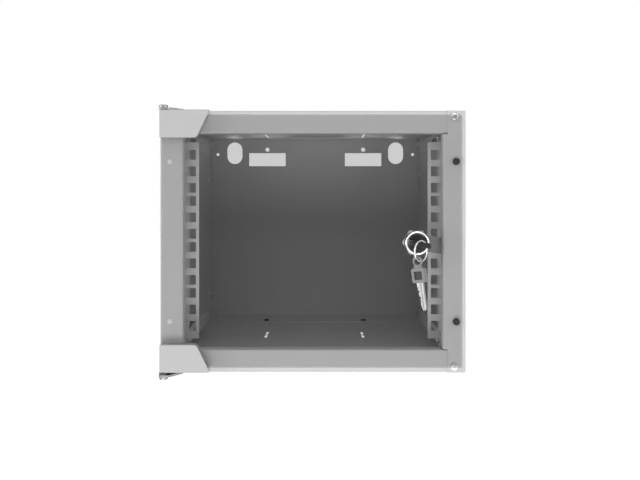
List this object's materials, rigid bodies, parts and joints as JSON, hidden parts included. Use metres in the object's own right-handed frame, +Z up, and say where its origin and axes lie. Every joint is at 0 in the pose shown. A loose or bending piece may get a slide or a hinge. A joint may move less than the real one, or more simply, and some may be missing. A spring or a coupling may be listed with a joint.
{
  "type": "wall mount network cabinet",
  "caption": "Small sheet steel wall cabinet for narrow rack equipment, with square-hole rails, rear cable entries and a hinged glass door with cam lock and keys.",
  "frame": {"origin": "middle of the rear face, in the plane of the wall", "axes": "+X to the right as seen from the front, +Y into the wall, so the door faces -Y, +Z up"},
  "size_m": [0.28, 0.3455, 0.2488],
  "materials": {
    "powder_coat": "fine textured powder coat, satin",
    "zinc_steel": "bright zinc plated",
    "black_screw": "black oxide",
    "chrome": "polished",
    "key_steel": "nickel plated",
    "black_plastic": "moulded, half gloss",
    "grey_plastic": "moulded",
    "nylon": "natural nylon",
    "rubber": "soft, matt",
    "glass": "clear toughened glass with a faint smoke tint, ground edges"
  },
  "bodies": {
    "cabinet": {"top_panel": "powder_coat", "bottom_panel": "powder_coat", "left_side_panel": "powder_coat", "right_side_panel": "powder_coat", "back_panel": "powder_coat", "left_rack_rail": "powder_coat", "right_rack_rail": "powder_coat", "left_upper_rail_bracket": "powder_coat", "left_lower_rail_bracket": "powder_coat", "right_upper_rail_bracket": "powder_coat", "right_lower_rail_bracket": "powder_coat", "front_corner_screws": "zinc_steel", "front_corner_nuts": "zinc_steel", "rail_bracket_screws": "zinc_steel", "panel_side_screws": "zinc_steel", "back_lug_screws": "zinc_steel", "back_foot_screws": "black_screw", "rail_bolts": "zinc_steel", "rail_nuts": "zinc_steel", "door_bumpers": "rubber", "stile_plugs": "grey_plastic", "upper_hinge_bracket": "zinc_steel", "lower_hinge_bracket": "zinc_steel", "upper_hinge_pin": "zinc_steel", "lower_hinge_pin": "zinc_steel", "hinge_bracket_screws": "zinc_steel", "hinge_bracket_nuts": "zinc_steel", "lower_hinge_washer": "nylon"},
    "door": {"glass_pane": "glass", "upper_clamp": "powder_coat", "lower_clamp": "powder_coat", "clamp_pads": "rubber", "clamp_grub_screws": "black_screw", "upper_hinge_bush": "nylon", "lower_hinge_bush": "nylon", "lock_housing": "chrome", "lock_front_gasket": "rubber", "lock_rear_gasket": "rubber", "lock_nut": "zinc_steel"},
    "lock_core": {"lock_plug": "chrome", "lock_cam": "zinc_steel", "cam_washer": "zinc_steel", "cam_screw": "zinc_steel", "inserted_key_blade": "key_steel", "inserted_key_bow": "black_plastic"},
    "key_ring": {"key_ring": "key_steel"},
    "spare_key": {"spare_key_blade": "key_steel", "spare_key_bow": "black_plastic"}
  },
  "joints": [
    {"name": "door_swing", "type": "hinge", "parent": "cabinet", "child": "door", "pos_m": [-0.1354, -0.307, 0], "axis": [0, 0, -1], "range_deg": [0, 180]},
    {"name": "lock_turn", "type": "hinge", "parent": "door", "child": "lock_core", "pos_m": [0.094, -0.307, -0.0007], "axis": [0, 1, 0], "range_deg": [-9, 81]},
    {"name": "ring_swing", "type": "hinge", "parent": "lock_core", "child": "key_ring", "pos_m": [0.094, -0.3339, -0.0007], "axis": [-1, 0, 0], "range_deg": [-4, 45]},
    {"name": "spare_key_swing", "type": "hinge", "parent": "key_ring", "child": "spare_key", "pos_m": [0.09041, -0.33761, -0.01352], "axis": [0.6691, 0.7431, 0], "range_deg": [-30, 30]}
  ]
}
